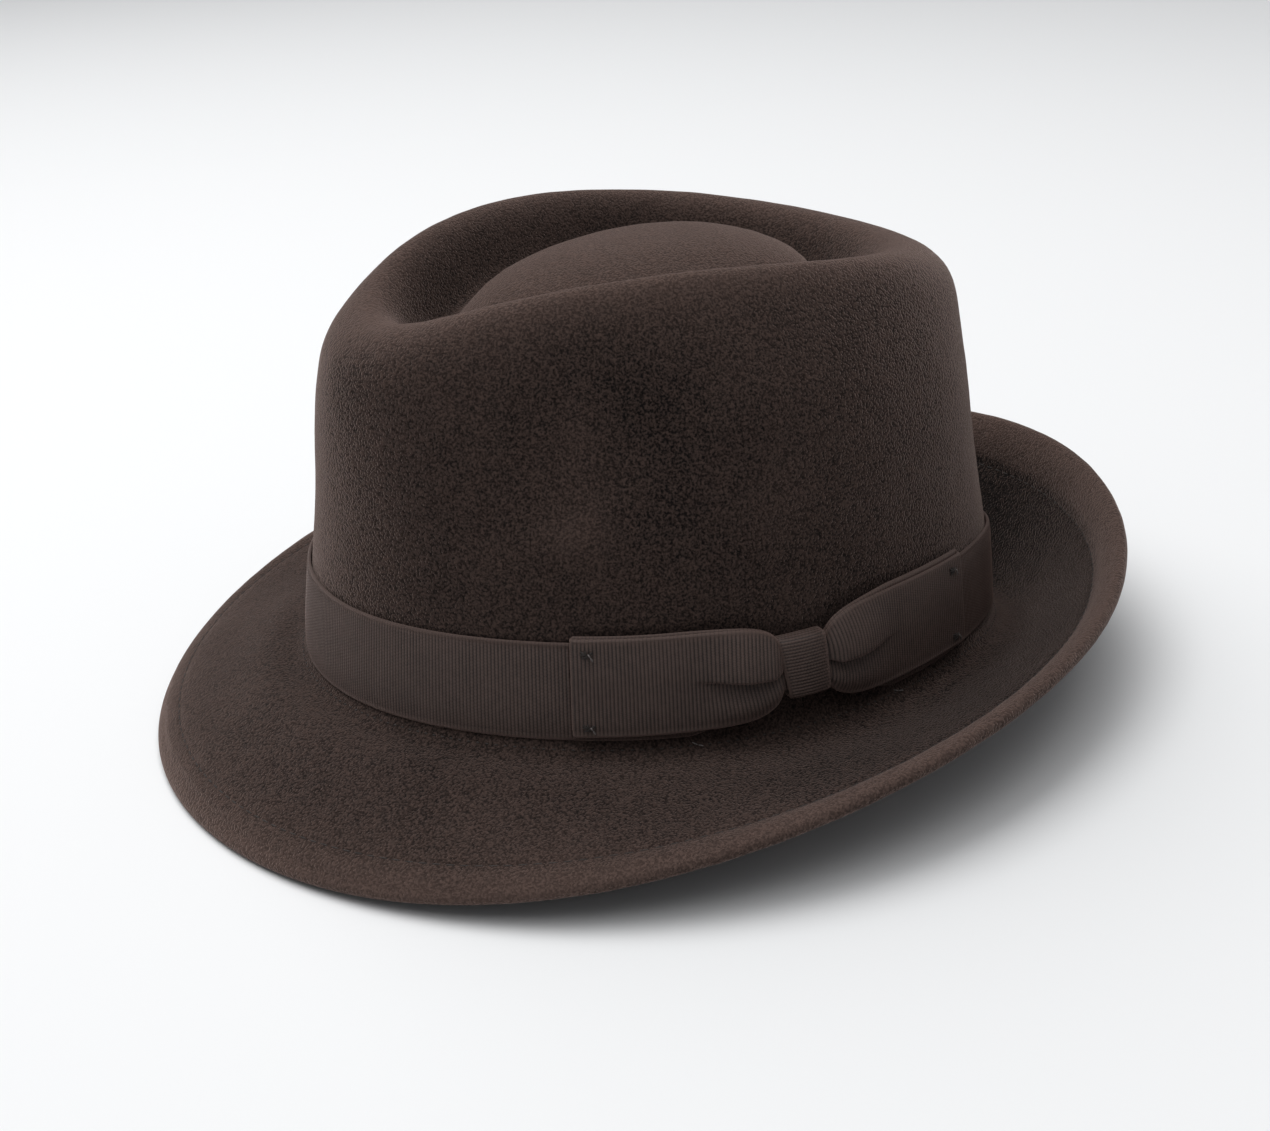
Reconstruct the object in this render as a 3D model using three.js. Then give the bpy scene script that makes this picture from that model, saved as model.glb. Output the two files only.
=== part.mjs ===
import * as THREE from 'three';

// A felt trilby: a teardrop crown, a brim turned down in front and up behind, and a ribbon with a flat bow.
// The hat stands on Z = 0 as it would on a table. Its front faces -Y, and the bow is on the side at +X.

// Driving sizes, in millimetres
const HEAD_HALF_WIDTH = 83;
const HEAD_HALF_LENGTH = 100;
const CROWN_HEIGHT = 109;
const CROWN_DENT_DEPTH = 20;
const PINCH_DEPTH = 6;
const FRONT_FOOT_HEIGHT = 24.5;
const BRIM_SIDE_REACH = 43.5;
const BRIM_FRONT_REACH = 44.5;
const BRIM_REAR_REACH = 36.5;
const BRIM_REAR_RISE = 39.5;
const BRIM_FOLD_DROP = 3.6;
const FELT_THICKNESS = 2;
const WELT_THICKNESS = 4;
const WELT_WIDTH = 8;
const REAR_PRESS = 1.4;
const FRONT_PRESS = 0.5;
const RIBBON_WIDTH = 24.4;
const RIBBON_THICKNESS = 1;
const BAND_GATHER_LENGTH = 30;
const BAND_REAR_RISE = 2;
const BOW_RAISE = 2.5;
const FRONT_WING_LENGTH = 57.6;
const REAR_WING_LENGTH = 60;
const KNOT_WIDTH = 12.4;
const KNOT_HEIGHT = 15;
const KNOT_RAISE = 0.8;
const KNOT_TAPER = 1;
const KNOT_LEAN = 0.9;
const GATHER_DEPTH = 3;
const CLEARANCE = 0.3;
const CURVE_ALLOWANCE = 0.2;

// Where the middle of the bow sits, in degrees round from the front, and how far it tips up to the rear
const BOW_ANGLE = 85;
const BOW_TILT = 0.6;

// Cosine of the slope of the front brim at its edge
const FRONT_EDGE_COSINE = 0.75;

// How much wider the brim is in front of its middle than behind it, as a taper of its plan
const BRIM_TAPER = -0.06;

// How finely the soft forms are divided
const STATIONS = 72;
const WELT_STEPS = 4;

// A table is a row of column names and rows of values; each row becomes an object with those names
function table(columns, rows) {
  return rows.map((row) => Object.fromEntries(columns.map((column, index) => [column, row[index]])));
}

// Rings of the crown, from its middle down to the foot, where the brim starts.
// side, front, rear: shares of the head's half width and half length; taper: narrowing towards the front;
// climb: share of the crown's height above the foot; sink: share of the depth of the crown dent;
// ribbon: share of the ribbon's width above the foot; follow: how far the ring follows the wavy foot line;
// steps: facets from this ring to the next.
const CROWN_RINGS = table(
  ['ring', 'side', 'front', 'rear', 'taper', 'climb', 'sink', 'ribbon', 'follow', 'steps'],
  [
    ['crown middle', 0.0, 0.0, 0.0, 0.0, 1.0, 0.0, 0.0, 0.0, 2],
    ['dome', 0.21, 0.26, 0.28, 0.1, 0.985, 0.0, 0.0, 0.0, 1],
    ['dome shoulder', 0.36, 0.47, 0.478, 0.16, 0.93, 0.0, 0.0, 0.2, 2],
    ['trough', 0.468, 0.62, 0.565, 0.19, 1.0, 1.0, 0.0, 1.0, 2],
    ['inside of ridge', 0.555, 0.68, 0.65, 0.18, 1.0, 0.3, 0.0, 1.0, 2],
    ['ridge', 0.64, 0.762, 0.732, 0.17, 1.0, 0.0, 0.0, 1.0, 2],
    ['outside of ridge', 0.725, 0.88, 0.895, 0.12, 0.92, 0.0, 0.0, 1.0, 3],
    ['upper side', 0.863, 0.92, 0.911, 0.08, 0.74, 0.0, 0.0, 1.0, 3],
    ['middle of side', 0.933, 0.94, 0.942, 0.03, 0.47, 0.0, 0.0, 1.0, 3],
    ['ribbon top', 0.961, 0.969, 0.989, 0.01, 0.0, 0.0, 1.0, 1.0, 2],
    ['ribbon low', 0.994, 0.995, 0.995, 0.0, 0.0, 0.0, 0.2, 1.0, 1],
    ['foot', 1.0, 1.0, 1.0, 0.0, 0.0, 0.0, 0.0, 1.0, 1],
  ],
);

// Rings of the brim, from the fold at the foot of the crown to the edge.
// out: share of the brim's reach; welt: share of the welt's width that is taken off it;
// drop: share of the fold's drop; lift: share of the climb to the edge.
const BRIM_RINGS = table(
  ['ring', 'out', 'welt', 'drop', 'lift', 'steps'],
  [
    ['fold', 0.06, 0.0, 0.7, 0.0, 1],
    ['root', 0.14, 0.0, 1.0, 0.0, 1],
    ['hollow', 0.29, 0.0, 1.0, 0.0, 1],
    ['middle of brim', 0.55, 0.0, 1.0, 0.32, 2],
    ['welt line', 1.0, 1.0, 1.0, 0.67, 2],
    ['edge', 1.0, 0.0, 1.0, 1.0, 1],
  ],
);

// Heights round the hat, front to rear. foot: from the rear foot, 0, to the front foot, 1;
// ridge: shares of the crown's height; edge: from the edge at rest, 0, to the rear edge, 1.
const HEIGHTS_ROUND = table(
  ['place', 'foot', 'ridge', 'edge'],
  [
    ['front', 1.0, 0.86, 0.0],
    ['front side', 0.965, 0.94, 0.15],
    ['side', 0.787, 1.0, 0.6],
    ['rear side', 0.53, 0.98, 0.82],
    ['rear', 0.0, 1.033, 1.0],
  ],
);

// Soft pinches in the sides of the crown, as the hand that lifts the hat leaves them.
// angle: degrees from the front; climb: share of the crown's height; depth: share of the pinch depth;
// width: degrees either way; height: share of the crown's height either way.
const PINCHES = table(
  ['pinch', 'angle', 'climb', 'depth', 'width', 'height'],
  [
    ['left', 52, 0.68, 1.0, 17, 0.26],
    ['right', -52, 0.68, 1.0, 17, 0.26],
  ],
);

// Shape of the bow, from the knot to the end of a wing.
// along: share of the wing's length; half: half width as a share of the ribbon's half width;
// lift: share of the way out that lets the ribbon pass over the back of the knot; fold: share of the gather.
const WING_SECTIONS = table(
  ['section', 'along', 'half', 'lift', 'fold'],
  [
    ['middle', 0.0, 0.44, 1.0, 0.0],
    ['under the knot edge', 0.13, 0.44, 1.0, 0.0],
    ['leaving the knot', 0.165, 0.7, 1.0, 0.6],
    ['gather', 0.22, 0.86, 0.9, 1.0],
    ['opening', 0.31, 0.96, 0.65, 0.55],
    ['open', 0.44, 1.0, 0.35, 0.15],
    ['flat', 0.7, 1.0, 0.08, 0.0],
    ['near the end', 0.86, 1.0, 0.0, 0.0],
    ['end', 1.0, 1.0, 0.0, 0.0],
  ],
);

const felt = new THREE.MeshStandardMaterial({ color: 0x3d322d, roughness: 0.95, metalness: 0 });
const ribbon = new THREE.MeshStandardMaterial({ color: 0x43382f, roughness: 0.8, metalness: 0 });

// A smooth curve round the hat through values at the front, front side, side, rear side and rear.
// Both sides are alike, so it is a sum of cosines.
function curveRound(column) {
  const values = HEIGHTS_ROUND.map((row) => row[column]);
  const last = values.length - 1;
  const weights = values.map((_, harmonic) => {
    let sum = 0;
    values.forEach((value, index) => {
      const half = index === 0 || index === last ? 0.5 : 1;
      sum += half * value * Math.cos((Math.PI * harmonic * index) / last);
    });
    return (harmonic === 0 || harmonic === last ? 1 : 2) * (sum / last);
  });
  return (angle) => weights.reduce((sum, weight, harmonic) => sum + weight * Math.cos(harmonic * angle), 0);
}

const footShare = curveRound('foot');
const ridgeShare = curveRound('ridge');
const edgeShare = curveRound('edge');

// The underside of the fold lies on the table at the rear, and the welt does at the front,
// where the brim slopes down to it
const EDGE_ROUND = WELT_THICKNESS / 2;
const REAR_FOOT_HEIGHT = BRIM_FOLD_DROP + FELT_THICKNESS - REAR_PRESS;
const EDGE_REST_HEIGHT = EDGE_ROUND * (1 + FRONT_EDGE_COSINE) - FRONT_PRESS;

const footHeight = (angle) => THREE.MathUtils.lerp(REAR_FOOT_HEIGHT, FRONT_FOOT_HEIGHT, footShare(angle));
const edgeHeight = (angle) => EDGE_REST_HEIGHT + edgeShare(angle) * (BRIM_REAR_RISE - EDGE_REST_HEIGHT);
const MEAN_FOOT_HEIGHT = (footHeight(0) + 2 * footHeight(Math.PI / 2) + footHeight(Math.PI)) / 4;

// A point of an egg-shaped plan: half width, reach to the front and to the rear, narrowing to the front
function planPoint(angle, side, front, rear, taper) {
  const x = side * Math.sin(angle) * (1 - taper * Math.cos(angle));
  const y = (rear - front) / 2 - ((front + rear) / 2) * Math.cos(angle);
  return new THREE.Vector3(x, y, 0);
}

function crownPoint(row, angle) {
  const point = planPoint(
    angle,
    row.side * HEAD_HALF_WIDTH,
    row.front * HEAD_HALF_LENGTH,
    row.rear * HEAD_HALF_LENGTH,
    row.taper,
  );
  const foot = THREE.MathUtils.lerp(MEAN_FOOT_HEIGHT, footHeight(angle), row.follow);
  const rise = CROWN_HEIGHT * THREE.MathUtils.lerp(1, ridgeShare(angle), row.follow);
  point.z = foot + row.climb * rise - row.sink * CROWN_DENT_DEPTH + row.ribbon * RIBBON_WIDTH;
  return point;
}

function brimPoint(row, angle) {
  const foot = planPoint(angle, HEAD_HALF_WIDTH, HEAD_HALF_LENGTH, HEAD_HALF_LENGTH, 0);
  const edge = planPoint(
    angle,
    HEAD_HALF_WIDTH + BRIM_SIDE_REACH - EDGE_ROUND,
    HEAD_HALF_LENGTH + BRIM_FRONT_REACH - EDGE_ROUND,
    HEAD_HALF_LENGTH + BRIM_REAR_REACH - EDGE_ROUND,
    BRIM_TAPER,
  );
  const taken = (row.welt * (WELT_WIDTH - EDGE_ROUND)) / edge.distanceTo(foot);
  const point = foot.clone().lerp(edge, row.out - taken);
  const low = footHeight(angle) - row.drop * BRIM_FOLD_DROP;
  point.z = THREE.MathUtils.lerp(low, edgeHeight(angle), row.lift);
  return point;
}

// The outer face of the felt in an upright cut, from the crown's middle to the brim's edge
function meridian(angle) {
  const points = CROWN_RINGS.map((row) => crownPoint(row, angle));
  BRIM_RINGS.forEach((row) => points.push(brimPoint(row, angle)));
  return new THREE.CatmullRomCurve3(points, false, 'centripetal');
}

const RINGS = [...CROWN_RINGS, ...BRIM_RINGS];
const ringIndex = (name) => RINGS.findIndex((row) => row.ring === name);
const RIDGE = ringIndex('ridge');
const RIBBON_LOW = ringIndex('ribbon low');
const FOOT = ringIndex('foot');
const WELT_LINE = ringIndex('welt line');

// Level direction straight out from the wall of the crown
function outward(angle) {
  const x = Math.sin(angle) / HEAD_HALF_WIDTH;
  const y = -Math.cos(angle) / HEAD_HALF_LENGTH;
  return new THREE.Vector3(x, y, 0).normalize();
}

// How far the pinches push the wall in at one place. The dent in the top of the crown isn't touched.
function pinchAt(angle, height, place) {
  const climb = (height - footHeight(angle)) / (CROWN_HEIGHT * ridgeShare(angle));
  let push = 0;
  PINCHES.forEach((pinch) => {
    const turn = THREE.MathUtils.degToRad(pinch.angle);
    const apart = Math.atan2(Math.sin(angle - turn), Math.cos(angle - turn));
    const across = apart / THREE.MathUtils.degToRad(pinch.width);
    const along = (climb - pinch.climb) / pinch.height;
    push += pinch.depth * PINCH_DEPTH * Math.exp(-(across * across) - along * along);
  });
  return push * THREE.MathUtils.smoothstep(place, RIDGE - 0.5, RIDGE + 1);
}

// A closed surface lofted through rings with the same number of points.
// Its faces point out where the rings turn clockwise about the way from the first ring to the last.
// With first and last points it is closed at both ends; without them the last ring joins the first.
function loft(rings, first, last) {
  const positions = [];
  const indices = [];
  const count = rings[0].length;
  rings.forEach((ring) => ring.forEach((point) => positions.push(point.x, point.y, point.z)));
  const bands = first ? rings.length - 1 : rings.length;
  for (let band = 0; band < bands; band += 1) {
    const here = band * count;
    const next = ((band + 1) % rings.length) * count;
    for (let step = 0; step < count; step += 1) {
      const after = (step + 1) % count;
      indices.push(here + step, next + step, next + after);
      indices.push(here + step, next + after, here + after);
    }
  }
  if (first) {
    const start = rings.length * count;
    const end = start + 1;
    const lastRing = (rings.length - 1) * count;
    positions.push(first.x, first.y, first.z, last.x, last.y, last.z);
    for (let step = 0; step < count; step += 1) {
      const after = (step + 1) % count;
      indices.push(start, step, after);
      indices.push(end, lastRing + after, lastRing + step);
    }
  }
  const geometry = new THREE.BufferGeometry();
  geometry.setAttribute('position', new THREE.Float32BufferAttribute(positions, 3));
  geometry.setIndex(indices);
  geometry.computeVertexNormals();
  return geometry;
}

// No felt reaches below the table
function settle(point) {
  point.z = Math.max(point.z, 0);
  return point;
}

const stationAngles = Array.from({ length: STATIONS }, (_, index) => (2 * Math.PI * index) / STATIONS);

// The outer face of the felt as rings of points, with the place of each ring between the rows of the tables
function feltFace() {
  const lines = stationAngles.map((angle) => meridian(angle));
  const places = [];
  RINGS.forEach((row, index) => {
    const steps = index < RINGS.length - 1 ? row.steps : 1;
    for (let step = 0; step < steps; step += 1) {
      places.push(index + step / steps);
    }
  });
  const face = places.map((place) => lines.map((line, station) => {
    const point = line.getPoint(place / (RINGS.length - 1));
    const angle = stationAngles[station];
    return point.addScaledVector(outward(angle), -pinchAt(angle, point.z, place));
  }));
  return { places, face };
}

// Directions straight off the outer face, at each of its points
function faceNormals(face) {
  return face.map((ring, row) => ring.map((point, station) => {
    const before = face[Math.max(row - 1, 0)][station];
    const after = face[Math.min(row + 1, face.length - 1)][station];
    const left = ring[(station + STATIONS - 1) % STATIONS];
    const right = ring[(station + 1) % STATIONS];
    const down = new THREE.Vector3().subVectors(after, before);
    const round = new THREE.Vector3().subVectors(right, left);
    return down.cross(round).normalize();
  }));
}

const { places, face } = feltFace();
const normals = faceNormals(face);

// Where the felt lies on the table, both of its faces are pressed up until the lower one is flat
face.forEach((ring, row) => ring.forEach((point, station) => {
  const normal = normals[row][station];
  const under = point.z - normal.z * FELT_THICKNESS;
  if (places[row] < WELT_LINE && under < 0) {
    point.z -= under;
  }
}));

// Crown and brim: the outer face, the round edge of the welt, then the inner face back to the crown's middle
function feltBody() {
  const last = face.length - 1;
  const rings = face.slice(1).map((ring) => ring.map((point) => settle(point.clone())));
  for (let step = 1; step <= WELT_STEPS; step += 1) {
    const turn = (Math.PI * step) / WELT_STEPS;
    rings.push(face[last].map((point, station) => {
      const normal = normals[last][station];
      const out = new THREE.Vector3().subVectors(point, face[last - 1][station]).normalize();
      const edge = point.clone().addScaledVector(out, EDGE_ROUND * Math.sin(turn));
      return settle(edge.addScaledVector(normal, EDGE_ROUND * (Math.cos(turn) - 1)));
    }));
  }
  const offset = (row, depth) => face[row].map((point, station) => (
    settle(point.clone().addScaledVector(normals[row][station], -depth))));
  for (let row = last - 1; row > 0; row -= 1) {
    if (places[row] >= WELT_LINE) {
      rings.push(offset(row, WELT_THICKNESS));
    }
    if (places[row] <= WELT_LINE) {
      rings.push(offset(row, FELT_THICKNESS));
    }
  }
  const top = face[0][0];
  const underTop = top.clone().add(new THREE.Vector3(0, 0, -FELT_THICKNESS));
  return loft(rings, top, underTop);
}

// The ribbon stands off the felt by this much, and the bow off the ribbon, so that the facets stay clear too
const RIBBON_SEAT = CLEARANCE + CURVE_ALLOWANCE;
const BOW_SEAT = 2 * RIBBON_SEAT + RIBBON_THICKNESS;

// The line of the crown's foot, for lengths round it
const footLine = new THREE.EllipseCurve(0, 0, HEAD_HALF_WIDTH, HEAD_HALF_LENGTH, -Math.PI / 2, 1.5 * Math.PI);
footLine.arcLengthDivisions = 720;
const footLengths = footLine.getLengths();
const BOW_DISTANCE = footLengths[Math.round((BOW_ANGLE / 360) * footLine.arcLengthDivisions)];

// A point off the wall of the crown: height above the foot as a share of the ribbon's width, and distance out
function wallPoint(angle, height, out) {
  const low = CROWN_RINGS[RIBBON_LOW].ribbon;
  const place = height < low
    ? FOOT - height / low
    : RIBBON_LOW - (height - low) / (1 - low);
  const point = meridian(angle).getPoint(place / (RINGS.length - 1));
  return point.addScaledVector(outward(angle), out);
}

// Height of the bow's middle line, as a share of the ribbon's width, at a length round from the knot
function bowLine(along) {
  return 0.5 + (BOW_RAISE + along * Math.tan(THREE.MathUtils.degToRad(BOW_TILT))) / RIBBON_WIDTH;
}

// A point of the bow: length round the crown from the knot, height above the bow's middle line,
// and distance out from the felt
function bowPoint(along, up, out) {
  const angle = 2 * Math.PI * footLine.getUtoTmapping(0, BOW_DISTANCE + along);
  return wallPoint(angle, bowLine(along) + up / RIBBON_WIDTH, out);
}

// The ribbon lies against the foot of the crown, and is drawn together behind the knot of the bow
function ribbonBand() {
  const heights = [1, 0.6, CROWN_RINGS[RIBBON_LOW].ribbon, 0];
  const ring = (height, distance) => stationAngles.map((angle, station) => {
    const along = footLengths[station * (footLine.arcLengthDivisions / STATIONS)] - BOW_DISTANCE;
    const open = THREE.MathUtils.smoothstep(Math.abs(along), KNOT_WIDTH / 2, BAND_GATHER_LENGTH);
    const drawn = bowLine(along) + (height - 0.5) * WING_SECTIONS[0].half;
    const raised = height + (BAND_REAR_RISE / RIBBON_WIDTH) * THREE.MathUtils.smoothstep(-Math.cos(angle), 0.3, 0.8);
    return wallPoint(angle, THREE.MathUtils.lerp(drawn, raised, open), distance);
  });
  const outerRings = heights.map((height) => ring(height, RIBBON_SEAT + RIBBON_THICKNESS));
  const innerRings = heights.map((height) => ring(height, RIBBON_SEAT)).reverse();
  return loft([...outerRings, ...innerRings]);
}

const KNOT_BACK = RIBBON_THICKNESS + CLEARANCE;
const BOW_THICKNESS = 2 * RIBBON_THICKNESS;
const WING_POINTS = 8;

// One section across the bow: up the outer face, then back down the inner face
function bowSection(row, length) {
  const along = row.along * length;
  const half = (row.half * RIBBON_WIDTH) / 2;
  const inner = BOW_SEAT + row.lift * KNOT_BACK;
  const points = [];
  for (let step = 0; step <= WING_POINTS; step += 1) {
    const across = -1 + (2 * step) / WING_POINTS;
    const pleat = (0.5 + 0.5 * Math.cos(2 * Math.PI * across)) * (1 - 0.5 * Math.abs(across));
    const ridge = row.fold * GATHER_DEPTH * pleat;
    points.push([across * half, inner + BOW_THICKNESS + ridge, inner + ridge]);
  }
  const raise = row.lift * KNOT_RAISE;
  const ring = points.map(([up, out]) => bowPoint(along, raise + up, out));
  points.reverse().forEach(([up, , back]) => ring.push(bowPoint(along, raise + up, back)));
  return ring;
}

function bowRibbon() {
  const front = WING_SECTIONS.slice(1).reverse().map((row) => bowSection(row, -FRONT_WING_LENGTH));
  const rear = WING_SECTIONS.map((row) => bowSection(row, REAR_WING_LENGTH));
  const middle = BOW_SEAT + BOW_THICKNESS / 2;
  const start = bowPoint(-FRONT_WING_LENGTH, 0, middle);
  const end = bowPoint(REAR_WING_LENGTH, 0, middle);
  return loft([...front, ...rear], start, end);
}

const KNOT_STEPS = 24;
const KNOT_COLUMNS = 4;
const KNOT_SQUARENESS = 0.25;

// The knot is a flat turn of ribbon round the gathered middle of the bow
function bowKnot() {
  const middle = BOW_SEAT + KNOT_BACK + BOW_THICKNESS / 2;
  const halfDepth = BOW_THICKNESS / 2 + RIBBON_SEAT;
  const halfHeight = KNOT_HEIGHT / 2 - RIBBON_THICKNESS;
  const outerDepth = halfDepth + RIBBON_THICKNESS;
  const outerHeight = KNOT_HEIGHT / 2;
  const rings = [];
  for (let step = 0; step < KNOT_STEPS; step += 1) {
    const turn = (2 * Math.PI * step) / KNOT_STEPS;
    const rounded = (value) => Math.sign(value) * Math.abs(value) ** KNOT_SQUARENESS;
    const up = rounded(-Math.sin(turn));
    const out = rounded(Math.cos(turn));
    const width = KNOT_WIDTH + up * KNOT_TAPER;
    const ring = [];
    for (let column = 0; column <= KNOT_COLUMNS; column += 1) {
      const along = width * (column / KNOT_COLUMNS - 0.5) - up * KNOT_LEAN;
      ring.push(bowPoint(along, KNOT_RAISE + up * outerHeight, middle + out * outerDepth));
    }
    for (let column = KNOT_COLUMNS; column >= 0; column -= 1) {
      const along = width * (column / KNOT_COLUMNS - 0.5) - up * KNOT_LEAN;
      ring.push(bowPoint(along, KNOT_RAISE + up * halfHeight, middle + out * halfDepth));
    }
    rings.push(ring);
  }
  return loft(rings);
}

function piece(name, geometry, material) {
  const mesh = new THREE.Mesh(geometry, material.clone());
  mesh.name = name;
  return mesh;
}

const group = new THREE.Group();
group.add(piece('felt_body', feltBody(), felt));
group.add(piece('ribbon_band', ribbonBand(), ribbon));
group.add(piece('bow_ribbon', bowRibbon(), ribbon));
group.add(piece('bow_knot', bowKnot(), ribbon));

// The origin is on the table, under the middle of the hat's outline
const outline = new THREE.Box3().setFromObject(group);
group.position.y = -(outline.min.y + outline.max.y) / 2;

export default group;
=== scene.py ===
"""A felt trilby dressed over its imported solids: nap, welted brim, grosgrain band, flat bow and sewing."""

import logging
import math
from dataclasses import dataclass, field
from enum import Enum, IntEnum
from itertools import product
from typing import Callable

import bmesh
import bpy
import numpy as np
from bmesh.types import BMesh, BMVert
from bpy.types import Material, Mesh, Node, NodeSocket, NodeTree, Object
from mathutils import Matrix, Vector, noise
from mathutils.bvhtree import BVHTree


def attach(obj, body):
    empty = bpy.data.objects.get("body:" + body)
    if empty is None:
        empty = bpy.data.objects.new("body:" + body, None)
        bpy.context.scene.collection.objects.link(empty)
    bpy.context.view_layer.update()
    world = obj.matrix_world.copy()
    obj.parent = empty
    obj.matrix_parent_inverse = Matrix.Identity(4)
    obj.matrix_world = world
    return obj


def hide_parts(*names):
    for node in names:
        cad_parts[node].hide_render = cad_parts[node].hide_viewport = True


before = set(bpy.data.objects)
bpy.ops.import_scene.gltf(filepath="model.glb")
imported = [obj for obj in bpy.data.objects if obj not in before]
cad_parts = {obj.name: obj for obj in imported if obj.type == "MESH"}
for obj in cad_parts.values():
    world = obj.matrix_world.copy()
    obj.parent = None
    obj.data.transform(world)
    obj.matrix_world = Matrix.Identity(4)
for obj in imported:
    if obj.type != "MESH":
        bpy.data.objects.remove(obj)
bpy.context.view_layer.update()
LOG = logging.getLogger("trilby")
MM = 0.001
PHOTO_WIDTH = 1270
PHOTO_HEIGHT = 1131
ROUND_STEPS = 1441
FLOAT, VECTOR = "NodeSocketFloat", "NodeSocketVector"
Colour = tuple[float, float, float]
Ring = list[BMVert]
Dye = dict[str, NodeSocket]
Look = tuple[NodeSocket, NodeSocket, NodeSocket]
Placing = Callable[[np.ndarray, np.ndarray], np.ndarray]


class Slot(Enum):
    """Two material slot names, which this script does not use."""

    FELT = "felt"
    RIBBON = "ribbon"


class FeltRow(IntEnum):
    """Rows of the felt, from the crown's middle over the rim of the brim to the inside."""

    RIDGE = 9
    UPPER_SIDE = 14
    RIBBON_LOW = 22
    FOOT = 23
    WELT = 29
    EDGE = 31
    RIM = 33
    INNER_EDGE = 35


def swell(value: np.ndarray, middle: float, width: float) -> np.ndarray:
    """Returns a soft hump of height one round middle."""
    return np.exp(-(((value - middle) / width) ** 2))


def ramp(value: np.ndarray, start: float, end: float) -> np.ndarray:
    """Returns a smooth step from zero at start to one at end."""
    share = np.clip((value - start) / (end - start), 0.0, 1.0)
    return share * share * (3.0 - 2.0 * share)


def plateau(value: np.ndarray, rise: tuple[float, float], fall: tuple[float, float]) -> np.ndarray:
    """Returns one between a rise and a fall, with smooth steps to zero outside them."""
    return ramp(value, *rise) * (1.0 - ramp(value, *fall))


def spline_weights(share: np.ndarray) -> list[np.ndarray]:
    """Returns the four weights of a smooth curve through even points, at shares between the middle two."""
    square = share * share
    cube = square * share
    return [
        0.5 * (-cube + 2 * square - share),
        0.5 * (3 * cube - 5 * square + 2),
        0.5 * (-3 * cube + 4 * square + share),
        0.5 * (cube - square),
    ]


def unit(vectors: np.ndarray) -> np.ndarray:
    """Returns the vectors at a length of one."""
    return vectors / np.maximum(np.linalg.norm(vectors, axis=-1, keepdims=True), 1e-12)


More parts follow.
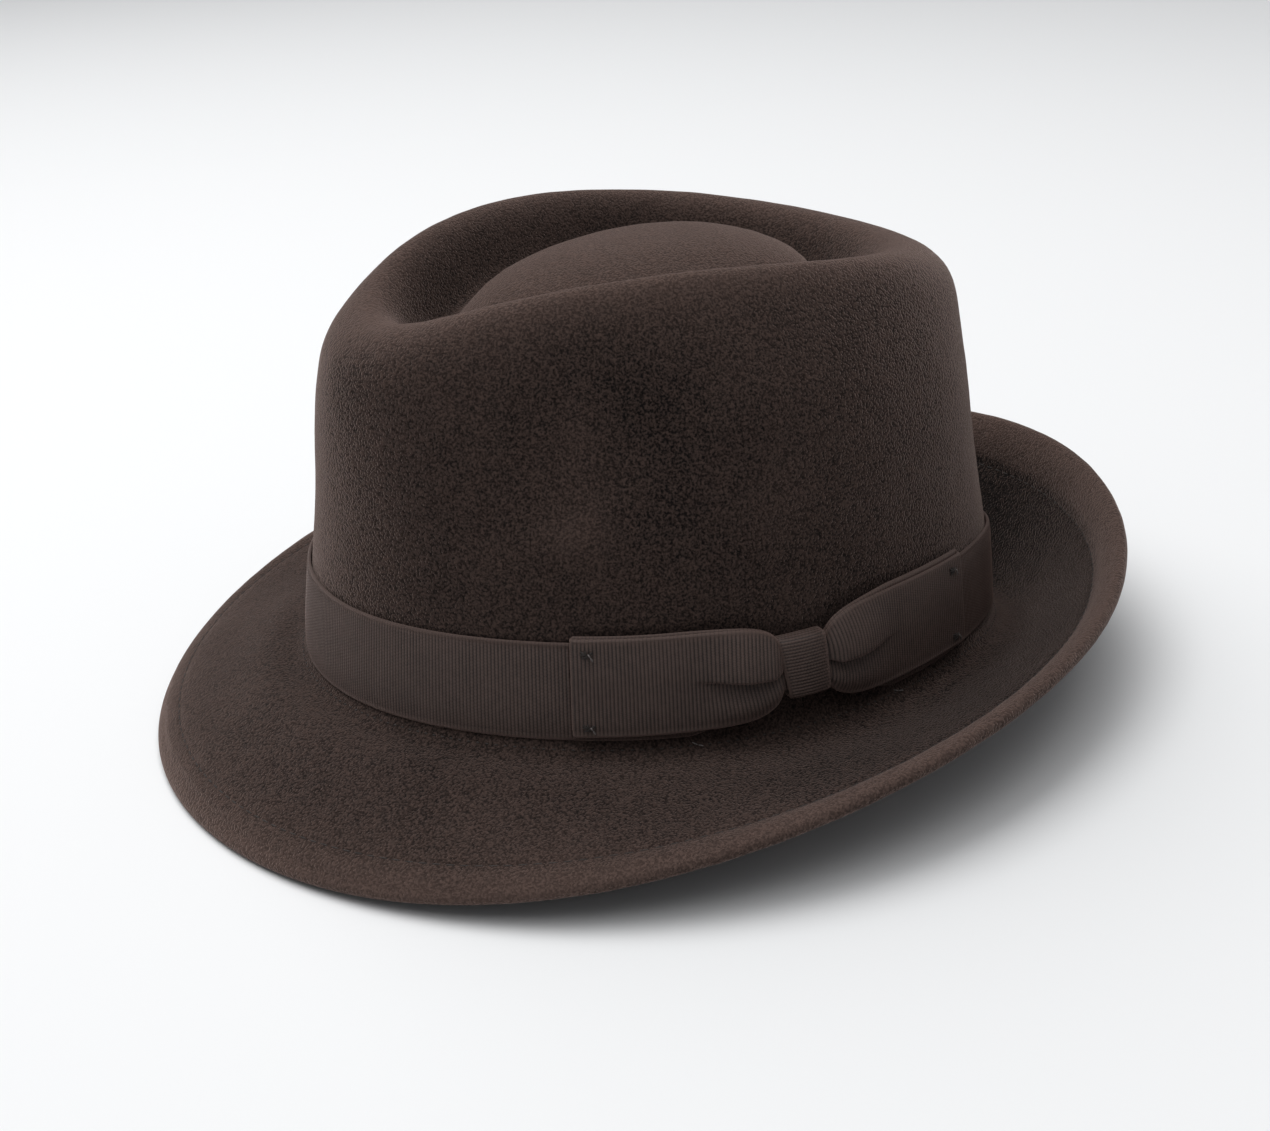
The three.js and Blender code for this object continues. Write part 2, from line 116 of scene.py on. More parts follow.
@dataclass
class FeltSurface:
    """The outer face of the felt as a smooth sheet, which everything sewn to the hat follows.

    Args:
        points: places in metres, by row from the crown's middle to the edge and by station round the hat.
    """

    points: np.ndarray
    heights: np.ndarray = field(default_factory=lambda: np.linspace(-4 * MM, 40 * MM, 89))
    turns: int = 720

    def __post_init__(self) -> None:
        """Prepares the table of rows by height and angle that row_at reads."""
        angles = np.linspace(0, 2 * math.pi, self.turns + 1)
        ladder = np.linspace(FeltRow.UPPER_SIDE + 2, FeltRow.FOOT + 0.4, 61)
        level = self.at(ladder[:, None], angles[None, :])[..., 2] - self.at(FeltRow.FOOT, angles)[None, :, 2]
        columns = [np.interp(self.heights, column, ladder[::-1]) for column in level[::-1].T]
        self.rows = np.stack(columns, axis=1)
        self.foot_angles, self.foot_lengths = self.girth(FeltRow.FOOT)

    def at(self, row: np.ndarray, angle: np.ndarray) -> np.ndarray:
        """Finds places on the sheet.

        Args:
            row: rows, whole or between two.
            angle: angles round from the front towards the bow's side, in radians.

        Returns:
            Places in metres.
        """
        row, angle = np.broadcast_arrays(np.asarray(row, float), np.asarray(angle, float))
        rows, stations, _ = self.points.shape
        row = np.clip(row, 0, rows - 1)
        turn = np.mod(angle / (2 * math.pi), 1.0) * stations
        low, left = np.floor(row).astype(int), np.floor(turn).astype(int)
        down, across = spline_weights(row - low), spline_weights(turn - left)
        place = np.zeros(row.shape + (3,))
        for i in range(4):
            for j in range(4):
                here = self.points[np.clip(low + i - 1, 0, rows - 1), (left + j - 1) % stations]
                place += (down[i] * across[j])[..., None] * here
        return place

    def off(self, row: np.ndarray, angle: np.ndarray) -> np.ndarray:
        """Returns the directions straight off the sheet."""
        row, angle = np.broadcast_arrays(np.asarray(row, float), np.asarray(angle, float))
        down = self.at(row + 0.2, angle) - self.at(row - 0.2, angle)
        across = self.at(row, angle + 0.02) - self.at(row, angle - 0.02)
        return unit(np.cross(down, across))

    def level_out(self, angle: np.ndarray) -> np.ndarray:
        """Returns the level directions out from the wall of the crown at its foot."""
        along = self.at(FeltRow.FOOT, angle + 0.02) - self.at(FeltRow.FOOT, angle - 0.02)
        return unit(np.stack([along[..., 1], -along[..., 0], np.zeros(along.shape[:-1])], axis=-1))

    def row_at(self, height: np.ndarray, angle: np.ndarray) -> np.ndarray:
        """Finds the rows at heights above the foot of the crown.

        Args:
            height: heights in metres, one column for each angle.
            angle: one angle for each column.

        Returns:
            The rows, in the shape of height.
        """
        level = (height - self.heights[0]) / (self.heights[1] - self.heights[0])
        level = np.clip(level, 0, len(self.heights) - 1.001)
        turn = np.broadcast_to(np.mod(angle / (2 * math.pi), 1.0) * self.turns, height.shape)
        low, left = np.floor(level).astype(int), np.minimum(np.floor(turn).astype(int), self.turns - 1)
        up, across = level - low, turn - left
        lower = self.rows[low, left] * (1 - across) + self.rows[low, left + 1] * across
        upper = self.rows[low + 1, left] * (1 - across) + self.rows[low + 1, left + 1] * across
        return lower * (1 - up) + upper * up

    def wall(self, height: np.ndarray, angle: np.ndarray, out: np.ndarray) -> np.ndarray:
        """Finds places at heights above the crown's foot and distances level out from the felt.

        Args:
            height: heights in metres, in rows, with one column for each angle.
            angle: one angle for each column.
            out: distances in metres, in the shape of height.

        Returns:
            Places in metres.
        """
        found = self.at(self.row_at(height, angle), angle[None, :])
        return found + out[..., None] * self.level_out(angle)[None, :, :]

    def girth(self, row: float) -> tuple[np.ndarray, np.ndarray]:
        """Returns angles once round the hat and the length run to each of them along a row."""
        angles = np.linspace(0, 2 * math.pi, ROUND_STEPS)
        steps = np.diff(self.at(row, angles), axis=0)
        return angles, np.concatenate([[0.0], np.cumsum(np.linalg.norm(steps, axis=1))])

    def angle_at(self, distance: np.ndarray, start: float) -> np.ndarray:
        """Returns the angles at lengths round the foot of the crown, measured from a start angle."""
        begin = np.interp(start, self.foot_angles, self.foot_lengths)
        return np.interp(begin + distance, self.foot_lengths, self.foot_angles)

    def distance_to(self, angle: np.ndarray, start: float) -> np.ndarray:
        """Returns the lengths round the foot of the crown from a start angle to other angles."""
        begin = np.interp(start, self.foot_angles, self.foot_lengths)
        return np.interp(angle, self.foot_angles, self.foot_lengths) - begin


def dress(name: str, mesh: BMesh | Mesh, material: Material) -> Object:
    """Makes a shaded piece of a mesh, riding on the hat.

    Args:
        name: the piece's plain name.
        mesh: the mesh, or a bmesh, which is freed.
        material: what it is dressed with.

    Returns:
        The new object.
    """
    data = mesh
    if isinstance(mesh, BMesh):
        data = bpy.data.meshes.new(name)
        mesh.to_mesh(data)
        mesh.free()
    data.name = name
    data.materials.clear()
    data.materials.append(material)
    data.shade_smooth()
    piece = bpy.data.objects.new(name, data)
    bpy.context.scene.collection.objects.link(piece)
    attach(piece, "root")
    return piece


@dataclass(frozen=True)
class ShaderBench:
    """Adds nodes to one node tree and joins them.

    Args:
        tree: the node tree of a material or a group.
    """

    tree: NodeTree

    def node(self, kind: str, **values: object) -> Node:
        """Adds a node and sets its values.

        Args:
            kind: the node's type.
            values: the node's own properties, or its sockets' values and links, with underscores for spaces.

        Returns:
            The new node.
        """
        made = self.tree.nodes.new(kind)
        rest = {}
        for name, value in values.items():
            if hasattr(made, name):
                setattr(made, name, value)
            else:
                rest[name] = value
        for name, value in rest.items():
            self.feed(made.inputs[name.replace("_", " ")], value)
        return made

    def feed(self, socket: NodeSocket, value: object) -> None:
        """Joins another node's output to a socket, or sets the socket's own value."""
        if isinstance(value, NodeSocket):
            self.tree.links.new(value, socket)
        elif isinstance(value, tuple) and len(value) == 3 and socket.type == "RGBA":
            socket.default_value = (*value, 1.0)
        else:
            socket.default_value = value

    def noise(self, vector: object, scale: object, detail: float, rough: float) -> NodeSocket:
        """Returns cloudy noise at a scale of so many features a metre."""
        made = self.node("ShaderNodeTexNoise", Vector=vector, Scale=scale, Detail=detail, Roughness=rough)
        return made.outputs["Fac"]

    def maths(self, operation: str, first: object, second: object = 0.0, clamp: bool = False) -> NodeSocket:
        """Returns the result of one sum on two values."""
        made = self.tree.nodes.new("ShaderNodeMath")
        made.operation = operation
        made.use_clamp = clamp
        self.feed(made.inputs[0], first)
        self.feed(made.inputs[1], second)
        return made.outputs[0]

    def total(self, *parts: tuple[object, float], clamp: bool = False) -> NodeSocket:
        """Adds up values, each times its share.

        Args:
            parts: two or more pairs of a value and its share.
            clamp: whether the sum is held between zero and one.

        Returns:
            The sum.
        """
        terms = [self.maths("MULTIPLY", value, share) for value, share in parts]
        result = terms[0]
        for term in terms[1:-1]:
            result = self.maths("ADD", result, term)
        return self.maths("ADD", result, terms[-1], clamp=clamp)

    def spread(
        self, value: object, low: float, high: float, to_low: float = 0.0, to_high: float = 1.0
    ) -> NodeSocket:
        """Returns a value moved smoothly from one range to another."""
        made = self.node("ShaderNodeMapRange", interpolation_type="SMOOTHSTEP", Value=value)
        for name, number in (("From Min", low), ("From Max", high), ("To Min", to_low), ("To Max", to_high)):
            made.inputs[name].default_value = number
        return made.outputs["Result"]

    def blend(self, share: object, first: object, second: object) -> NodeSocket:
        """Returns two colours blended."""
        made = self.tree.nodes.new("ShaderNodeMix")
        made.data_type = "RGBA"
        self.feed(made.inputs[0], share)
        self.feed(made.inputs[6], first)
        self.feed(made.inputs[7], second)
        return made.outputs[2]


def new_group(
    name: str, inputs: dict[str, tuple[str, object]], outputs: dict[str, str]
) -> tuple[ShaderBench, Node, Node]:
    """Starts a shader node group.

    Args:
        name: the group's name.
        inputs: socket kind and starting value by name.
        outputs: socket kind by name.

    Returns:
        A bench for the group, and its input and output nodes.
    """
    tree = bpy.data.node_groups.new(name, "ShaderNodeTree")
    for title, (kind, value) in inputs.items():
        socket = tree.interface.new_socket(title, in_out="INPUT", socket_type=kind)
        if value is not None:
            socket.default_value = value
    for title, kind in outputs.items():
        tree.interface.new_socket(title, in_out="OUTPUT", socket_type=kind)
    return ShaderBench(tree), tree.nodes.new("NodeGroupInput"), tree.nodes.new("NodeGroupOutput")


def mottle_group() -> NodeTree:
    """Builds the group that gives cloth its uneven dye, from broad clouds to single specks."""
    bench, given, result = new_group(
        "uneven_dye",
        {
            "Place": (VECTOR, None),
            "Cloud": (FLOAT, 30 * MM),
            "Clump": (FLOAT, 3 * MM),
            "Speck": (FLOAT, 0.7 * MM),
        },
        {"Clouds": FLOAT, "Clumps": FLOAT, "Specks": FLOAT},
    )
    layers = (
        ("Cloud", "Clouds", 2.0, 0.34, 0.66),
        ("Clump", "Clumps", 3.0, 0.32, 0.68),
        ("Speck", "Specks", 1.0, 0.36, 0.64),
    )
    for size, title, detail, low, high in layers:
        scale = bench.maths("DIVIDE", 1.0, given.outputs[size])
        found = bench.noise(given.outputs["Place"], scale, detail, 0.55)
        bench.feed(result.inputs[title], bench.spread(found, low, high))
    return bench.tree


def relief_group() -> NodeTree:
    """Builds the group that turns a height and its depth in metres into a normal."""
    bench, given, result = new_group(
        "cloth_relief", {"Height": (FLOAT, 0.0), "Depth": (FLOAT, 0.1 * MM)}, {"Normal": VECTOR}
    )
    made = bench.node(
        "ShaderNodeBump", Height=given.outputs["Height"], Distance=given.outputs["Depth"], Strength=1.0
    )
    bench.feed(result.inputs["Normal"], made.outputs["Normal"])
    return bench.tree


@dataclass(frozen=True)
class DyedFinish:
    """What every finish shares: dye that is uneven in three sizes, a fine relief and a sheen.

    Args:
        name: the material's name.
        ground: the colour down between the fibres.
        tips: the colour of what stands up and catches the light.
        cloud: size of the broad unevenness in metres.
        clump: size of the middle unevenness in metres.
        speck: size of the finest unevenness in metres.
        depth: depth of the relief in metres.
        gloss: the shader's specular level.
        sheen: how strong the sheen is.
        sheen_tint: the sheen's colour.
        sheen_roughness: how broad the sheen is.
    """

    name: str
    ground: Colour
    tips: Colour
    cloud: float
    clump: float
    speck: float
    depth: float
    gloss: float = 0.5
    sheen: float = 0.0
    sheen_tint: Colour = (1.0, 1.0, 1.0)
    sheen_roughness: float = 0.5

    def cloth(self, bench: ShaderBench, place: NodeSocket, dye: Dye) -> Look:
        """Adds the nodes of one kind of cloth.

        Args:
            bench: the material's bench.
            place: places on the piece in metres.
            dye: the uneven dye as Clouds, Clumps and Specks.

        Returns:
            How much of the tips' colour shows, how rough the cloth is and how high it stands.
        """
        raise NotImplementedError

    def material(self, mottle: NodeTree, relief: NodeTree) -> Material:
        """Builds the material.

        Args:
            mottle: the shared group of uneven dye.
            relief: the shared group that makes normals.

        Returns:
            The finished material.
        """
        material = bpy.data.materials.new(self.name)
        material.use_nodes = True
        bench = ShaderBench(material.node_tree)
        place = bench.node("ShaderNodeTexCoord").outputs["Object"]
        dye = bench.node("ShaderNodeGroup", node_tree=mottle)
        bench.feed(dye.inputs["Place"], place)
        for title, size in (("Cloud", self.cloud), ("Clump", self.clump), ("Speck", self.speck)):
            dye.inputs[title].default_value = size
        share, roughness, height = self.cloth(bench, place, dict(dye.outputs.items()))
        bump = bench.node("ShaderNodeGroup", node_tree=relief)
        bench.feed(bump.inputs["Height"], height)
        bump.inputs["Depth"].default_value = self.depth
        shader = material.node_tree.nodes["Principled BSDF"]
        bench.feed(shader.inputs["Base Color"], bench.blend(share, self.ground, self.tips))
        bench.feed(shader.inputs["Roughness"], roughness)
        bench.feed(shader.inputs["Normal"], bump.outputs["Normal"])
        shader.inputs["Specular IOR Level"].default_value = self.gloss
        shader.inputs["Sheen Weight"].default_value = self.sheen
        shader.inputs["Sheen Roughness"].default_value = self.sheen_roughness
        shader.inputs["Sheen Tint"].default_value = (*self.sheen_tint, 1.0)
        return material


@dataclass(frozen=True)
class FeltFinish(DyedFinish):
    """Brushed wool felt: a dark ground, lighter fibre ends and a soft sheen at grazing light."""

    name: str = "wool_felt"
    ground: Colour = (0.0035, 0.0024, 0.0021)
    tips: Colour = (0.103, 0.068, 0.057)
    cloud: float = 28 * MM
    clump: float = 3.2 * MM
    speck: float = 0.62 * MM
    depth: float = 0.2 * MM
    gloss: float = 0.12
    sheen: float = 0.66
    sheen_tint: Colour = (0.62, 0.47, 0.42)
    sheen_roughness: float = 0.32
    fibre: float = 1.0 * MM
    roughness: tuple[float, float] = (0.86, 1.0)
    rubbing_and_painted_light_share: float = 0.31

    def cloth(self, bench: ShaderBench, place: NodeSocket, dye: Dye) -> Look:
        """Adds single fibres to the dye, and the felt's mark of rubbing, painted highlight and painted
        shade.
        """
        clouds, clumps, specks = dye["Clouds"], dye["Clumps"], dye["Specks"]
        fibres = bench.spread(bench.noise(place, 1.0 / self.fibre, 3.0, 0.75), 0.38, 0.66)
        # One attribute holds rubbing, painted highlight and painted shade; it lightens or darkens the felt's
        # dye.
        rubbing_and_painted_light = bench.node("ShaderNodeAttribute", attribute_name="rubbing_and_painted_light").outputs["Fac"]
        share = bench.total(
            (specks, 0.36), (clumps, 0.06), (clouds, 0.07), (fibres, 0.21),
            (rubbing_and_painted_light, self.rubbing_and_painted_light_share), clamp=True,
        )
        height = bench.total((specks, 0.8), (fibres, 0.2), (clumps, 0.1))
        return share, bench.spread(clumps, 0.0, 1.0, *self.roughness), height


@dataclass(frozen=True)
class RibbonFinish(DyedFinish):
    """Grosgrain: silky ribs wound round with fine warp, a little lighter along their tops."""

    name: str = "grosgrain"
    ground: Colour = (0.005, 0.0036, 0.0031)
    tips: Colour = (0.094, 0.061, 0.051)
    cloud: float = 14 * MM
    clump: float = 1.6 * MM
    speck: float = 0.3 * MM
    depth: float = 0.07 * MM
    gloss: float = 0.35
    sheen: float = 0.3
    sheen_tint: Colour = (0.75, 0.5, 0.43)
    sheen_roughness: float = 0.35
    rib_pitch: float = 0.93 * MM
    warp_pitch: float = 0.42 * MM
    roughness: tuple[float, float] = (0.72, 0.5)
    # The ribbon's edges are lighter: partly their own weave, partly painted highlight.
    selvage_and_highlight_share: float = 0.45

    def cloth(self, bench: ShaderBench, place: NodeSocket, dye: Dye) -> Look:
        """Adds the ribs, the warp that is offset from rib to rib, and the lighter edges, partly their own
        weave and partly painted highlight.
        """
        flat = bench.node("ShaderNodeUVMap", uv_map="cloth").outputs["UV"]
        parts = bench.node("ShaderNodeSeparateXYZ", Vector=flat)
        along, across = parts.outputs["X"], parts.outputs["Y"]
        turn = bench.maths("MULTIPLY", along, math.pi / self.rib_pitch)
        rib = bench.maths("ABSOLUTE", bench.maths("SINE", turn))
        step = bench.maths("FLOOR", bench.maths("DIVIDE", along, self.rib_pitch))
        offset = bench.maths("MULTIPLY", step, math.pi / 2)
        yarn = bench.maths("ADD", bench.maths("MULTIPLY", across, math.pi / self.warp_pitch), offset)
        warp = bench.maths("ABSOLUTE", bench.maths("SINE", yarn))
        # The ribbon's edges are lighter, partly their own weave and partly painted highlight.
        selvage_and_highlight = bench.node("ShaderNodeAttribute", attribute_name="selvage_and_highlight").outputs["Fac"]
        tops = bench.spread(rib, 0.2, 0.95)
        clouds, clumps, specks = dye["Clouds"], dye["Clumps"], dye["Specks"]
        share = bench.total(
            (tops, 0.6), (warp, 0.12), (clumps, 0.12), (specks, 0.12), (clouds, 0.1),
            (selvage_and_highlight, self.selvage_and_highlight_share), clamp=True,
        )
        height = bench.total((warp, 0.7), (specks, 0.4))
        return share, bench.spread(warp, 0.0, 1.0, *self.roughness), height


@dataclass(frozen=True)
class ThreadFinish(DyedFinish):
    """Sewing thread: two plies twisted round each other."""

    cloud: float = 20 * MM
    clump: float = 0.5 * MM
    speck: float = 0.15 * MM
    depth: float = 0.05 * MM
    roughness: tuple[float, float] = (0.55, 0.75)
    twist_scale: float = 900.0

    def cloth(self, bench: ShaderBench, place: NodeSocket, dye: Dye) -> Look:
        """Adds the twist of the plies."""
        twist = bench.node(
            "ShaderNodeTexWave", Vector=place, wave_type="BANDS", bands_direction="DIAGONAL",
            Scale=self.twist_scale, Distortion=1.5,
        )
        plies, clumps, specks = twist.outputs["Fac"], dye["Clumps"], dye["Specks"]
        share = bench.total((plies, 0.5), (clumps, 0.3), (specks, 0.2), clamp=True)
        return share, bench.spread(specks, 0.0, 1.0, *self.roughness), plies


@dataclass(frozen=True)
class Finishes:
    """Every finish of the hat, built once."""

    felt: Material
    ribbon: Material
    knot: Material
    felt_thread: Material
    bow_thread: Material

    @classmethod
    def build(cls) -> "Finishes":
        """Builds the shared groups and the materials."""
        groups = mottle_group(), relief_group()
        dark = ThreadFinish("felt_thread", ground=(0.012, 0.008, 0.007), tips=(0.035, 0.026, 0.022))
        pale = ThreadFinish("bow_thread", ground=(0.05, 0.04, 0.038), tips=(0.24, 0.21, 0.2))
        return cls(
            felt=FeltFinish().material(*groups),
            ribbon=RibbonFinish().material(*groups),
            knot=RibbonFinish("knot_grosgrain", rib_pitch=0.8 * MM).material(*groups),
            felt_thread=dark.material(*groups),
            bow_thread=pale.material(*groups),
        )


@dataclass(frozen=True)
class HandMark:
    """A soft dent or swelling that handling leaves in the crown.

    Args:
        row: the row of its middle.
        angle: the angle of its middle round from the front, in degrees.
        rows: how far it reaches up and down.
        degrees: how far it reaches round.
        height: how far it stands out, in metres, below zero for a dent.
    """

    row: float
    angle: float
    rows: float
    degrees: float
    height: float

    def at(self, row: np.ndarray, angle: np.ndarray) -> np.ndarray:
        """Returns how far the mark moves the felt out at rows and angles in degrees."""
        return self.height * swell(row, self.row, self.rows) * swell(angle, self.angle, self.degrees)


@dataclass
class FeltHat:
    """The crown and brim, one piece of felt with a sewn welt round its edge.

    Args:
        groove_width: width of the groove that the welt's seam draws.
        groove_depth: its depth.
        welt_fullness: how far the welt swells between its seam and the edge.
        sway: height of the felt's slow unevenness, and sway_size its size.
        pucker: height of its quick unevenness, and pucker_size its size.
        twin_rows: what a row inside the felt and its twin outside add up to.
        rest_height: below this the felt keeps still, because it rests on the floor.
        still_from: rows where the stillness under the band begins, and still_to where it ends.
        rubbing_and_highlight: where the felt is lighter from rubbing and from painted highlight, as a row, a
            reach in rows and a strength.
        top_painted_highlight: how much painted highlight lightens the middle of the crown, which faces the
            light.
        painted_shade_to: rows where the painted shade on the brim in front of the welt ends; it begins with
            still_to.
        painted_shade_round: degrees from the front over which the painted shade comes in.
        painted_shade: how much painted shade darkens the brim next to the crown, where the crown and the
            raised brim shade it.
        rubbing_and_painted_light_limit: the limit of the lightening and darkening, both ways.
        levels: how often the surface is subdivided.
        hand_marks: the dents and swellings of handling.
        surface: the outer face, known once the felt is built.
    """

    groove_width: float = 0.9 * MM
    groove_depth: float = 0.5 * MM
    welt_fullness: float = 0.5 * MM
    sway: float = 0.45 * MM
    sway_size: float = 34 * MM
    pucker: float = 0.12 * MM
    pucker_size: float = 7 * MM
    twin_rows: int = 66
    rest_height: float = 6 * MM
    still_from: tuple[float, float] = (17.5, 19.5)
    still_to: tuple[float, float] = (24.5, 27.0)
    # Lighter along the ridges and the brim's edge: rubbing, with painted highlight there as well.
    rubbing_and_highlight: tuple[tuple[float, float, float], ...] = (
        (FeltRow.RIDGE, 1.6, 1.5), (FeltRow.EDGE + 0.6, 2.2, 1.6),
    )
    # Painted highlight on the middle of the crown, which faces the light.
    top_painted_highlight: float = 1.15
    # Painted shade on the brim next to the crown, at the sides and back, where the crown and the raised brim
    # shade it.
    painted_shade_to: tuple[float, float] = (28.9, 29.7)
    painted_shade_round: tuple[float, float] = (50.0, 120.0)
    painted_shade: float = 1.3
    rubbing_and_painted_light_limit: float = 1.5
    levels: int = 2
    hand_marks: tuple[HandMark, ...] = (
        HandMark(row=14.3, angle=65.0, rows=2.7, degrees=13.0, height=-2.4 * MM),
        HandMark(row=15.2, angle=49.5, rows=1.7, degrees=4.5, height=0.9 * MM),
        HandMark(row=17.0, angle=48.5, rows=0.8, degrees=7.0, height=1.5 * MM),
        HandMark(row=14.8, angle=-60.0, rows=2.4, degrees=12.0, height=-1.8 * MM),
    )
    surface: FeltSurface | None = None

    def walk(self, mesh: BMesh) -> tuple[BMVert, BMVert, list[Ring]]:
        """Finds the rings of the merged solid, from the crown's middle over the brim's edge to the inside.

        Args:
            mesh: the merged solid.

        Returns:
            The outer pole, the inner pole and the rings between them.
        """
        poles = sorted((v for v in mesh.verts if len(v.link_edges) > 40), key=lambda v: -v.co.z)
        outer, inner = poles[0], poles[1]
        ring = [edge.other_vert(outer) for edge in outer.link_edges]
        middle = sum((v.co for v in ring), Vector()) / len(ring)
        ring.sort(key=lambda v: (math.atan2(v.co.x - middle.x, middle.y - v.co.y) + 0.02) % (2 * math.pi))
        rings, seen = [ring], set(outer.link_faces)
        while True:
            here, count = rings[-1], len(rings[-1])
            after = [None] * count
            for step in range(count):
                first, second = here[step], here[(step + 1) % count]
                face = next(f for f in mesh.edges.get((first, second)).link_faces if f not in seen)
                after[(step + 1) % count] = next(v for v in face.verts if v not in (first, second))
            if after[0] is inner:
                return outer, inner, rings
            for step in range(count):
                ahead = (step + 1) % count
                seen.update(mesh.edges.get((here[step], here[ahead])).link_faces)
                seen.update(mesh.edges.get((here[step], after[ahead])).link_faces)
            rings.append(after)

    def build(self, finishes: Finishes) -> Object:
        """Builds the felt from a merged copy of its solid and keeps its outer face for the other pieces."""
        mesh = bmesh.new()
        mesh.from_mesh(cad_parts["felt_body"].data)
        bmesh.ops.remove_doubles(mesh, verts=mesh.verts, dist=1e-6)
        row_layer = mesh.verts.layers.float.new("row")
        outer, inner, rings = self.walk(mesh)
        stations = len(rings[0])
        outside = [[tuple(vert.co) for vert in ring] for ring in rings[: FeltRow.EDGE]]
        self.surface = FeltSurface(np.array([[tuple(outer.co)] * stations] + outside))
        inner[row_layer] = len(rings) + 1
        for index, ring in enumerate(rings):
            for vert in ring:
                vert[row_layer] = index + 1
        diagonals = []
        for here, after in zip(rings, rings[1:]):
            crossings = ((here[step], after[(step + 1) % stations]) for step in range(stations))
            diagonals += [mesh.edges.get(pair) for pair in crossings]
        welt = rings[FeltRow.WELT - 1]
        seam = [mesh.edges.get((welt[step], welt[(step + 1) % stations])) for step in range(stations)]
        bmesh.ops.dissolve_edges(mesh, edges=diagonals, use_verts=False, use_face_split=False)
        made = bmesh.ops.bevel(
            mesh, geom=seam, offset=self.groove_width, offset_type="OFFSET", segments=2, profile=0.5,
            affect="EDGES", material=-1, clamp_overlap=True,
        )
        new_faces = set(made["faces"])
        mesh.normal_update()
        for vert in {v for v in made["verts"] if all(f in new_faces for f in v.link_faces)}:
            vert.co -= vert.normal * self.groove_depth
        for face in mesh.faces:
            face.smooth = True
        fine = self.subdivide(mesh)
        self.soften(fine)
        piece = dress("felt_hat", fine, finishes.felt)
        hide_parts("felt_body")
        return piece

    def subdivide(self, mesh: BMesh) -> Mesh:
        """Smooths the felt's cage.

        Args:
            mesh: the cage, which is freed.

        Returns:
            The fine mesh, which keeps the rows.
        """
        data = bpy.data.meshes.new("felt_cage")
        mesh.to_mesh(data)
        mesh.free()
        cage = bpy.data.objects.new("felt_cage", data)
        bpy.context.scene.collection.objects.link(cage)
        smoother = cage.modifiers.new("smooth", "SUBSURF")
        smoother.levels = smoother.render_levels = self.levels
        graph = bpy.context.evaluated_depsgraph_get()
        fine = bpy.data.meshes.new_from_object(cage.evaluated_get(graph))
        bpy.data.objects.remove(cage)
        bpy.data.meshes.remove(data)
        return fine

    def soften(self, data: Mesh) -> None:
        """Gives the felt its unevenness, hand marks and full welt, and marks where its colour is lightened
        by rubbing and painted highlight or darkened by painted shade.
        """
        count = len(data.vertices)
        place, normal, row = np.empty(count * 3), np.empty(count * 3), np.empty(count)
        data.vertices.foreach_get("co", place)
        data.vertices.foreach_get("normal", normal)
        data.attributes["row"].data.foreach_get("value", row)
        place, normal = place.reshape(-1, 3), normal.reshape(-1, 3)
        folded = np.where(row > FeltRow.INNER_EDGE, self.twin_rows - row, row)
        quiet = 1.0 - plateau(folded, self.still_from, self.still_to)
        quiet *= ramp(folded, 0.0, 3.0) * np.where(place[:, 2] < self.rest_height, 0.0, 1.0)
        rim = ramp(folded, 26.0, 29.0)
        angle = np.degrees(np.arctan2(place[:, 0], -place[:, 1]))
        marks = sum(mark.at(folded, angle) for mark in self.hand_marks)
        full = marks + self.welt_fullness * swell(folded, FeltRow.WELT + 1.2, 0.7)
        for index in np.nonzero(quiet > 0.001)[0]:
            point = Vector(place[index])
            slow = noise.noise(point / self.sway_size)
            quick = noise.noise(point / self.pucker_size + Vector((7.0, 3.0, 5.0)))
            move = slow * self.sway * (1.0 - 0.6 * rim[index]) + quick * self.pucker + full[index]
            side = 1.0 if row[index] <= FeltRow.RIM else -1.0
            place[index] += normal[index] * (move * side * quiet[index])
        data.vertices.foreach_set("co", place.ravel())
        # Lighter along the ridges and the brim's edge, from rubbing and from painted highlight.
        rubbing_and_painted_light = sum(strength * swell(row, middle, reach) for middle, reach, strength in self.rubbing_and_highlight)
        # Painted highlight on the middle of the crown and on the hand marks' swellings; painted shade in
        # their dents.
        rubbing_and_painted_light += self.top_painted_highlight * (1.0 - ramp(row, 3.0, 6.0)) + np.where(marks > 0, 0.35, 0.15) * marks / MM
        # Painted shade on the upper brim between the crown's foot and the welt, coming in towards the sides
        # and back.
        round_share = ramp(np.abs(angle), *self.painted_shade_round)
        rubbing_and_painted_light -= self.painted_shade * plateau(row, self.still_to, self.painted_shade_to) * round_share
        # Stores the rubbing, painted highlight and painted shade as one attribute.
        mark = data.attributes.new("rubbing_and_painted_light", "FLOAT", "POINT")
        mark.data.foreach_set("value", np.clip(rubbing_and_painted_light, -self.rubbing_and_painted_light_limit, self.rubbing_and_painted_light_limit).astype(np.float32))
        data.update()


